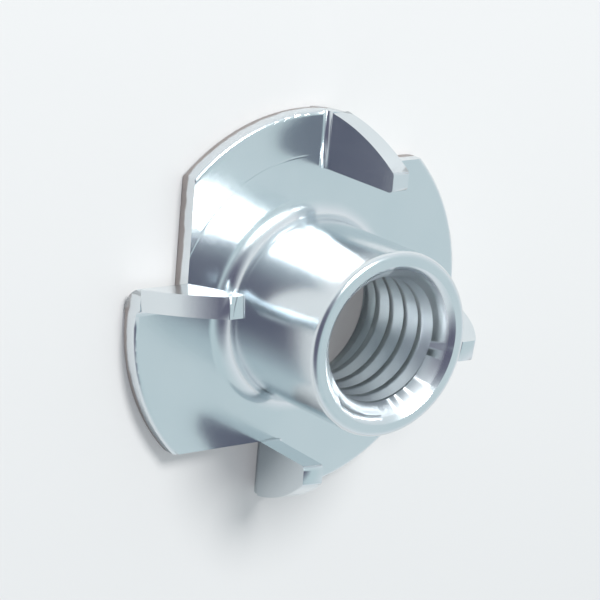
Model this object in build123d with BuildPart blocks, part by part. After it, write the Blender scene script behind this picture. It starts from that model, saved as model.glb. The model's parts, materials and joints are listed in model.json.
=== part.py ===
"""Four-prong tee nut, drawn and stamped in one piece from steel sheet.

Millimetres, +Z up along the bore.  The origin is the centre of the flange's flat back face,
which is what the nut stands on, with the barrel and the four prongs pointing up.
"""
import os
from math import cos, radians, sin

from build123d import *

# Flange
FLANGE_RADIUS = 11.0
SHEET = 1.2
RIM_ROUNDING = 0.25

# Barrel
BARREL_RADIUS = 5.15
BARREL_HEIGHT = 9.4
ROOT_FILLET = 1.1
NOSE_FILLET = 0.45

# Bore: a plain hole for an M8 x 1.25 thread, near the largest minor radius of its 6H tolerance
THREAD_MINOR_RADIUS = 3.45
LIP_WALL = 0.75
BACK_FLARE_RADIUS = 3.7

# Prongs: flaps of the flange, cut free on one side and folded up on the next
PRONG_COUNT = 4
CUT_OFFSET = 7.75
FOLD_START = 0.45
FOLD_INNER_RADIUS = 0.4
FOLD_ANGLE = 82.0
NEUTRAL_DEPTH = 0.4
PRONG_LENGTH = 4.9
PRONG_LEAN = 3.0
PRONG_TIP_RADIUS = 0.25

# The fold turns a strip of the sheet about an axis above the flange's front.
fold_outer_radius = FOLD_INNER_RADIUS + SHEET
fold_length = radians(FOLD_ANGLE) * (FOLD_INNER_RADIUS + NEUTRAL_DEPTH * SHEET)
fold_axis = Axis((FOLD_START, 0, fold_outer_radius), (0, -1, 0))

# The plate lies on the fold's inner face.  Seen square on, its foot is the corner where its
# cut edge leaves the fold, and its rim turns about where the flat blank's centre lands.
plate_normal = Vector(sin(radians(FOLD_ANGLE)), 0, -cos(radians(FOLD_ANGLE)))
plate_plane = Plane(
    fold_axis.position + plate_normal * FOLD_INNER_RADIUS, x_dir=(0, 1, 0), z_dir=plate_normal
)
plate_foot = Vector(CUT_OFFSET, 0)
blank_centre = Vector(0, -FOLD_START - fold_length)
rim_centre = plate_foot + (blank_centre - plate_foot).rotate(Axis.Z, PRONG_LEAN)

mouth_radius = BARREL_RADIUS - LIP_WALL
mouth_depth = mouth_radius - THREAD_MINOR_RADIUS
flare_radius = THREAD_MINOR_RADIUS + BACK_FLARE_RADIUS
root_radius = BARREL_RADIUS + ROOT_FILLET
nose_fillet = min(NOSE_FILLET, LIP_WALL / 2)

# The drawn cup and its flange: half of their section, turned about the bore's axis.
with BuildPart() as cup:
    with BuildSketch(Plane.XZ):
        with BuildLine():
            back = Line((FLANGE_RADIUS, 0), (flare_radius, 0))
            flare = RadiusArc(
                back @ 1, (THREAD_MINOR_RADIUS, BACK_FLARE_RADIUS), BACK_FLARE_RADIUS
            )
            bore = Line(flare @ 1, (THREAD_MINOR_RADIUS, BARREL_HEIGHT - mouth_depth))
            mouth = Line(bore @ 1, (mouth_radius, BARREL_HEIGHT))
            end = Line(mouth @ 1, (BARREL_RADIUS - nose_fillet, BARREL_HEIGHT))
            nose = RadiusArc(end @ 1, (BARREL_RADIUS, BARREL_HEIGHT - nose_fillet), nose_fillet)
            wall = Line(nose @ 1, (BARREL_RADIUS, SHEET + ROOT_FILLET))
            root = RadiusArc(wall @ 1, (root_radius, SHEET), -ROOT_FILLET)
            front = Line(root @ 1, (FLANGE_RADIUS, SHEET))
            Line(front @ 1, back @ 0)
        make_face()
        fillet(vertices().group_by(Axis.X)[-1], RIM_ROUNDING)
    revolve(axis=Axis.Z)

# What one prong takes out of the flange, from the start of its fold to past the rim.
with BuildPart() as notch:
    with BuildSketch():
        with Locations((FOLD_START, CUT_OFFSET)):
            Rectangle(FLANGE_RADIUS, FLANGE_RADIUS, align=(Align.MIN, Align.MIN))
    extrude(amount=SHEET)

# The fold, trimmed by the flange's rim.
with BuildPart() as fold:
    with BuildSketch(Plane.YZ.offset(FOLD_START)):
        with Locations((CUT_OFFSET, 0)):
            Rectangle(FLANGE_RADIUS, SHEET, align=(Align.MIN, Align.MIN))
    revolve(axis=fold_axis, revolution_arc=FOLD_ANGLE)
    with BuildSketch():
        Circle(FLANGE_RADIUS)
    extrude(amount=BARREL_HEIGHT, mode=Mode.INTERSECT)

# The plate: its straight cut edge faces the barrel and leans toward it, and its outer edge
# is the flange's old rim.
with BuildPart() as prong:
    with BuildSketch(plate_plane):
        with BuildLine():
            cut = PolarLine(
                plate_foot, PRONG_LENGTH, 90 + PRONG_LEAN, length_mode=LengthMode.VERTICAL
            )
            Polyline(cut @ 1, (FLANGE_RADIUS, PRONG_LENGTH), (FLANGE_RADIUS, 0), cut @ 0)
        make_face()
        with Locations(rim_centre):
            Circle(FLANGE_RADIUS, mode=Mode.INTERSECT)
        tip = edges().sort_by(Axis.Y)[-1]
        fillet(tip.vertices(), min(PRONG_TIP_RADIUS, tip.length / 3))
    extrude(amount=SHEET)

with BuildPart() as tee_nut:
    add(cup.part)
    with PolarLocations(0, PRONG_COUNT):
        add(notch.part, mode=Mode.SUBTRACT)
    with PolarLocations(0, PRONG_COUNT):
        add(fold.part)
        add(prong.part)

tee_nut.part.label = "tee_nut"
os.makedirs("parts", exist_ok=True)
export_step(tee_nut.part, "parts/tee_nut.step")
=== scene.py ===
"""The looks of a zinc-plated tee nut: its M8 thread, finish, light and camera."""
import json
import math

import bmesh
import bpy
from mathutils import Matrix, Vector

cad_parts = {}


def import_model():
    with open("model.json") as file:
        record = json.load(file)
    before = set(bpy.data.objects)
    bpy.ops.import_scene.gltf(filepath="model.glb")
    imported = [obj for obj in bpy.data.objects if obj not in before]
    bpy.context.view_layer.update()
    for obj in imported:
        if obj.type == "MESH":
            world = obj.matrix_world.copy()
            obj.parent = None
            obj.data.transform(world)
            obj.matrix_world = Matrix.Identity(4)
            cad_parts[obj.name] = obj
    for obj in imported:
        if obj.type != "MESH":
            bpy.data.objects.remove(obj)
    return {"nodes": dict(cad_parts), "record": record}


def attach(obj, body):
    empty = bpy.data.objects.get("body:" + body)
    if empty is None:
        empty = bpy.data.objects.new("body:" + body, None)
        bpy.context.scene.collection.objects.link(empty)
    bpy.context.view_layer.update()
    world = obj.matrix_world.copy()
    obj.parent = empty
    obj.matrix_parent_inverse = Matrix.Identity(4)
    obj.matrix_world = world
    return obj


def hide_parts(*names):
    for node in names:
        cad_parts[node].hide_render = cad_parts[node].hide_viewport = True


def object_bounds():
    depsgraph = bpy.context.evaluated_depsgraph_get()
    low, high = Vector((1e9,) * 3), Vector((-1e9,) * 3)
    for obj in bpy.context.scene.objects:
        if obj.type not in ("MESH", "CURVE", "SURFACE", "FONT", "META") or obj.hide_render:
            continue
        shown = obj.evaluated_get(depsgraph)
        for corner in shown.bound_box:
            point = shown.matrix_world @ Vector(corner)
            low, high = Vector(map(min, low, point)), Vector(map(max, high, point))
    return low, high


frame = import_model()
cad_low, cad_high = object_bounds()

MM = 0.001

# The thread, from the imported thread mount: its minor radius is the CAD bore's.
mounts = {m["name"]: m for m in frame["record"]["mounts"]}
MINOR_RADIUS = mounts["thread"]["dims"]["r_mm"] * MM
PITCH = 1.25 * MM
MAJOR_RADIUS = 4.0 * MM
NUT_HEIGHT = cad_high.z
FLANGE_RADIUS = cad_high.x
SHEET = 1.2 * MM
MOUTH_RADIUS = mounts["barrel"]["dims"]["r_mm"] * MM - 0.75 * MM
CUTTER_CLEARANCE = 0.01 * MM

MERGE_DISTANCE = 0.001 * MM
# The bevel is held to a hairline by the shortest edges: it steadies the shading, no more.
EDGE_SUPPORT = 0.14 * MM
SHARP_ANGLE = math.radians(42)


# ---------------------------------------------------------------- node helpers
class Value:
    """A shader socket that can be used in Python expressions."""

    def __init__(self, tree, socket):
        self.tree = tree
        self.socket = socket

    def math(self, operation, *others, clamp=False):
        node = self.tree.nodes.new("ShaderNodeMath")
        node.operation = operation
        node.use_clamp = clamp
        for place, item in enumerate((self, *others)):
            if isinstance(item, Value):
                self.tree.links.new(item.socket, node.inputs[place])
            else:
                node.inputs[place].default_value = item
        return Value(self.tree, node.outputs[0])

    def flipped(self, operation, other):
        first = Value(self.tree, self.tree.nodes.new("ShaderNodeValue").outputs[0])
        first.socket.default_value = other
        return first.math(operation, self)

    def __add__(self, other):
        return self.math("ADD", other)

    __radd__ = __add__

    def __mul__(self, other):
        return self.math("MULTIPLY", other)

    __rmul__ = __mul__

    def __sub__(self, other):
        return self.math("SUBTRACT", other)

    def __rsub__(self, other):
        return self.flipped("SUBTRACT", other)

    def __truediv__(self, other):
        return self.math("DIVIDE", other)

    def __abs__(self):
        return self.math("ABSOLUTE")

    def between(self, low, high):
        """0 below low, 1 above high and a straight ramp from one to the other."""
        return ((self - low) / (high - low)).math("MULTIPLY", 1.0, clamp=True)


class Shader:
    """A material's or world's node tree."""

    def __init__(self, owner):
        owner.use_nodes = True
        self.tree = owner.node_tree
        self.tree.nodes.clear()

    def node(self, kind, settings=None, **inputs):
        node = self.tree.nodes.new(kind)
        for name, setting in (settings or {}).items():
            setattr(node, name, setting)
        for name, item in inputs.items():
            socket = node.inputs[name.replace("_", " ")]
            if isinstance(item, Value):
                self.tree.links.new(item.socket, socket)
            else:
                socket.default_value = item
        return node

    def out(self, node, name):
        return Value(self.tree, node.outputs[name])

    def xyz(self, vector):
        parts = self.node("ShaderNodeSeparateXYZ", Vector=vector)
        return [self.out(parts, axis) for axis in "XYZ"]

    def noise(self, vector, scale, detail=2.0):
        made = self.node("ShaderNodeTexNoise", Vector=vector, Scale=scale, Detail=detail)
        return self.out(made, "Fac")

    def blend(self, factor, low, high):
        made = self.node("ShaderNodeMix", {"data_type": "RGBA"})
        for place, item in ((0, factor), (6, low), (7, high)):
            if isinstance(item, Value):
                self.tree.links.new(item.socket, made.inputs[place])
            else:
                made.inputs[place].default_value = item if place == 0 else (*item, 1)
        return Value(self.tree, made.outputs[2])

    def link(self, value, node, name):
        self.tree.links.new(value.socket, node.inputs[name])


# ---------------------------------------------------------------- materials
def zinc_plate():
    material = bpy.data.materials.new("zinc_plate")
    s = Shader(material)
    place = s.out(s.node("ShaderNodeTexCoord"), "Object")
    x, y, z = s.xyz(place)
    radius = (x * x + y * y).math("SQRT")
    normal_z = s.xyz(s.out(s.node("ShaderNodeNewGeometry"), "Normal"))[2]

    # The rim and the cuts: a bright burnished band above, a torn dull band below, rougher
    # and bumped as the real tear, its dark brown colour a painted reflection and shade.
    wall = 1.0 - abs(normal_z).between(0.15, 0.4)
    sheared = wall * radius.between(FLANGE_RADIUS * 0.68, FLANGE_RADIUS * 0.7)
    sheared = sheared * (1.0 - z.between(SHEET * 0.96, SHEET))
    wander = s.noise(place, 900.0) * SHEET * 0.3
    torn_and_painted_shade = sheared * (1.0 - (z + wander).between(SHEET * 0.5, SHEET * 0.62))

    tone = s.noise(place, 260.0, 4.0)
    colour = s.blend(tone, (0.70, 0.76, 0.79), (0.80, 0.83, 0.85))
    # Painted shade: the torn band is darkened to brown, standing in for dark reflections
    # and contact shadow on the cut edges.
    colour = s.blend(torn_and_painted_shade, colour, (0.42, 0.38, 0.37))
    grain = s.noise(place, 5200.0, 2.0)
    bore = 1.0 - radius.between(MAJOR_RADIUS * 1.01, MAJOR_RADIUS * 1.05)
    roughness = 0.15 + tone * 0.06 + grain * 0.04 + torn_and_painted_shade * 0.28 + bore * 0.16

    # The die's ring on the flange's front.
    front = normal_z.between(0.9, 0.98)
    ring = 1.0 - abs(radius - FLANGE_RADIUS * 0.775).between(0.0, 0.07 * MM)
    ring = ring * front * (1.0 - x.between(-0.002, 0.001)) * y.between(0.0, 0.002)
    height = s.noise(place, 1500.0, 3.0) * 0.004 + grain * 0.0012 - ring * 0.02
    height = height - torn_and_painted_shade * s.noise(place, 3500.0, 3.0) * 0.03
    bump = s.node("ShaderNodeBump", Strength=0.6, Distance=MM, Height=height)

    surface = s.node(
        "ShaderNodeBsdfPrincipled",
        Base_Color=colour,
        Roughness=roughness,
        Metallic=1.0,
        Normal=s.out(bump, "Normal"),
    )
    output = s.node("ShaderNodeOutputMaterial")
    s.link(s.out(surface, "BSDF"), output, "Surface")
    return material


def pale_floor():
    """White board. What the camera sees of it keeps half of its shading."""
    material = bpy.data.materials.new("pale_floor")
    s = Shader(material)
    board = s.node("ShaderNodeBsdfDiffuse", Color=(0.70, 0.69, 0.68, 1))
    glow = s.node("ShaderNodeEmission", Color=(0.83, 0.835, 0.855, 1), Strength=1.0)
    seen = s.out(s.node("ShaderNodeLightPath"), "Is Camera Ray")
    mixed = s.node("ShaderNodeMixShader", Fac=seen * 0.2)
    s.tree.links.new(board.outputs[0], mixed.inputs[1])
    s.tree.links.new(glow.outputs[0], mixed.inputs[2])
    output = s.node("ShaderNodeOutputMaterial")
    s.link(s.out(mixed, "Shader"), output, "Surface")
    return material


# ---------------------------------------------------------------- meshes
def finished(name, bm):
    mesh = bpy.data.meshes.new(name)
    bm.to_mesh(mesh)
    bm.free()
    made = bpy.data.objects.new(name, mesh)
    bpy.context.scene.collection.objects.link(made)
    return made


def thread_tap():
    """The screw-shaped solid that cuts the thread: right-handed, longer than the bore."""
    bm = bmesh.new()
    root_flat, core = PITCH / 8, MINOR_RADIUS + CUTTER_CLEARANCE
    flank = (MAJOR_RADIUS - core) / math.sqrt(3)
    valley = (PITCH - root_flat) / 2 - flank
    outline = ((core, 0), (core, valley), (MAJOR_RADIUS, valley + flank))
    outline += ((MAJOR_RADIUS, valley + flank + root_flat), (core, PITCH - valley))
    turns = math.ceil(NUT_HEIGHT / PITCH) + 3
    chain = []
    for turn in range(turns):
        base = (turn - 2) * PITCH
        for radius, rise in outline:
            chain.append(bm.verts.new((radius, 0, base + rise)))
    edges = [bm.edges.new(pair) for pair in zip(chain, chain[1:])]
    steps = 128
    bmesh.ops.spin(
        bm,
        geom=chain + edges,
        cent=(0, 0, 0),
        axis=(0, 0, 1),
        dvec=(0, 0, PITCH / steps),
        angle=math.tau,
        steps=steps,
    )
    bmesh.ops.remove_doubles(bm, verts=bm.verts, dist=PITCH * 0.002)
    for height, up in ((-PITCH / 2, -1), (NUT_HEIGHT + PITCH / 2, 1)):
        bmesh.ops.bisect_plane(
            bm,
            geom=bm.verts[:] + bm.edges[:] + bm.faces[:],
            plane_co=(0, 0, height),
            plane_no=(0, 0, up),
            clear_outer=True,
        )
    bmesh.ops.holes_fill(bm, edges=[e for e in bm.edges if e.is_boundary], sides=0)
    bmesh.ops.recalc_face_normals(bm, faces=bm.faces)
    return finished("thread_tap", bm)


def mouth_cutter():
    """The cone that opens the bore's mouth, a hair wider than the CAD's."""
    bm = bmesh.new()
    over = 0.5 * MM
    depth = MOUTH_RADIUS - MINOR_RADIUS
    bmesh.ops.create_cone(
        bm,
        cap_ends=True,
        segments=128,
        radius1=MINOR_RADIUS - over + CUTTER_CLEARANCE,
        radius2=MOUTH_RADIUS + over + CUTTER_CLEARANCE,
        depth=depth + 2 * over,
        matrix=Matrix.Translation((0, 0, NUT_HEIGHT - depth / 2)),
    )
    return finished("mouth_cutter", bm)


def apply_modifiers(piece):
    graph = bpy.context.evaluated_depsgraph_get()
    mesh = bpy.data.meshes.new_from_object(piece.evaluated_get(graph))
    piece.modifiers.clear()
    piece.data = mesh


def cut_away(piece, cutter):
    cut = piece.modifiers.new(cutter.name, "BOOLEAN")
    cut.operation = "DIFFERENCE"
    cut.solver = "EXACT"
    cut.object = cutter
    apply_modifiers(piece)
    bpy.data.objects.remove(cutter)


def tee_nut():
    bm = bmesh.new()
    bm.from_mesh(frame["nodes"]["tee_nut"].data)
    bmesh.ops.remove_doubles(bm, verts=bm.verts, dist=0.0005 * MM)
    bmesh.ops.dissolve_limit(
        bm, angle_limit=math.radians(0.5), verts=bm.verts, edges=bm.edges
    )
    nut = finished("tee_nut_threaded", bm)

    cut_away(nut, mouth_cutter())
    support = nut.modifiers.new("edge_support", "BEVEL")
    support.limit_method = "ANGLE"
    support.angle_limit = SHARP_ANGLE
    support.width = EDGE_SUPPORT
    support.segments = 3
    apply_modifiers(nut)

    cut_away(nut, thread_tap())
    bm = bmesh.new()
    bm.from_mesh(nut.data)
    bmesh.ops.remove_doubles(bm, verts=bm.verts, dist=MERGE_DISTANCE)
    bmesh.ops.dissolve_degenerate(bm, edges=bm.edges, dist=MERGE_DISTANCE)
    bm.to_mesh(nut.data)
    bm.free()

    nut.data.shade_smooth()
    nut.data.set_sharp_from_angle(angle=SHARP_ANGLE)
    weighted = nut.modifiers.new("even_shading", "WEIGHTED_NORMAL")
    weighted.keep_sharp = True
    nut.data.materials.clear()
    nut.data.materials.append(zinc_plate())
    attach(nut, "root")
    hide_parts("tee_nut")
    return nut


def floor():
    bm = bmesh.new()
    bmesh.ops.create_grid(bm, x_segments=1, y_segments=1, size=0.6)
    bmesh.ops.translate(bm, verts=bm.verts, vec=(0, 0, -CUTTER_CLEARANCE))
    made = finished("floor", bm)
    made.data.materials.append(pale_floor())
    return made


# ---------------------------------------------------------------- light and camera
def direction(azimuth, elevation):
    a, e = math.radians(azimuth), math.radians(elevation)
    return Vector((math.cos(a) * math.cos(e), math.sin(a) * math.cos(e), math.sin(e)))


CAMERA_AZIMUTH, CAMERA_ELEVATION, CAMERA_ROLL = 155.23, 49.35, -114.18
CAMERA_DISTANCE = 0.160
CAMERA_LENS = 172.24
CAMERA_AIM = Vector((0.00055, 0, 0.00043))


def world():
    """A pale room with one shaded side, behind the camera."""
    made = bpy.data.worlds.new("studio")
    bpy.context.scene.world = made
    s = Shader(made)
    toward = s.out(s.node("ShaderNodeTexCoord"), "Generated")

    def patch(azimuth, elevation, inner, outer):
        """1 within inner degrees of a direction, fading to 0 at outer degrees."""
        dot = s.node("ShaderNodeVectorMath", {"operation": "DOT_PRODUCT"})
        s.tree.links.new(toward.socket, dot.inputs[0])
        dot.inputs[1].default_value = direction(azimuth, elevation)
        low, high = (math.cos(math.radians(v)) for v in (outer, inner))
        return s.out(dot, "Value").between(low, high)

    sky = s.xyz(toward)[2]
    colour = s.blend(sky.between(0.1, 0.9), (0.86, 0.89, 0.92), (0.58, 0.70, 0.73))
    colour = s.blend(patch(178, 42, 22, 50), colour, (0.13, 0.13, 0.19))
    seen = s.out(s.node("ShaderNodeLightPath"), "Is Camera Ray")
    colour = s.blend(seen, colour, (0.75, 0.77, 0.79))
    background = s.node("ShaderNodeBackground", Color=colour, Strength=1.0)
    output = s.node("ShaderNodeOutputWorld")
    s.link(s.out(background, "Background"), output, "Surface")


def lamp(name, azimuth, elevation, distance, size, energy):
    data = bpy.data.lights.new(name, "AREA")
    data.shape = "DISK"
    data.size = size
    data.energy = energy
    made = bpy.data.objects.new(name, data)
    place = direction(azimuth, elevation)
    made.location = place * distance
    made.rotation_mode = "QUATERNION"
    made.rotation_quaternion = place.to_track_quat("Z", "Y")
    bpy.context.scene.collection.objects.link(made)


def camera():
    back = direction(CAMERA_AZIMUTH, CAMERA_ELEVATION)
    level_up = (Vector((0, 0, 1)) - back * back.z).normalized()
    level_right = level_up.cross(back)
    roll = math.radians(CAMERA_ROLL)
    up = level_up * math.cos(roll) + level_right * math.sin(roll)
    turn = Matrix((up.cross(back), up, back)).transposed().to_quaternion()
    data = bpy.data.cameras.new("camera")
    data.lens = CAMERA_LENS
    data.clip_start, data.clip_end = 0.01, 10
    made = bpy.data.objects.new("camera", data)
    made.rotation_mode = "QUATERNION"
    made.rotation_quaternion = turn
    made.location = CAMERA_AIM + back * CAMERA_DISTANCE
    bpy.context.scene.collection.objects.link(made)
    bpy.context.scene.camera = made


camera()
floor()
tee_nut()
world()
lamp("softbox", 88, 50, 0.35, 0.13, 1.15)
bpy.context.scene.view_settings.view_transform = "Standard"
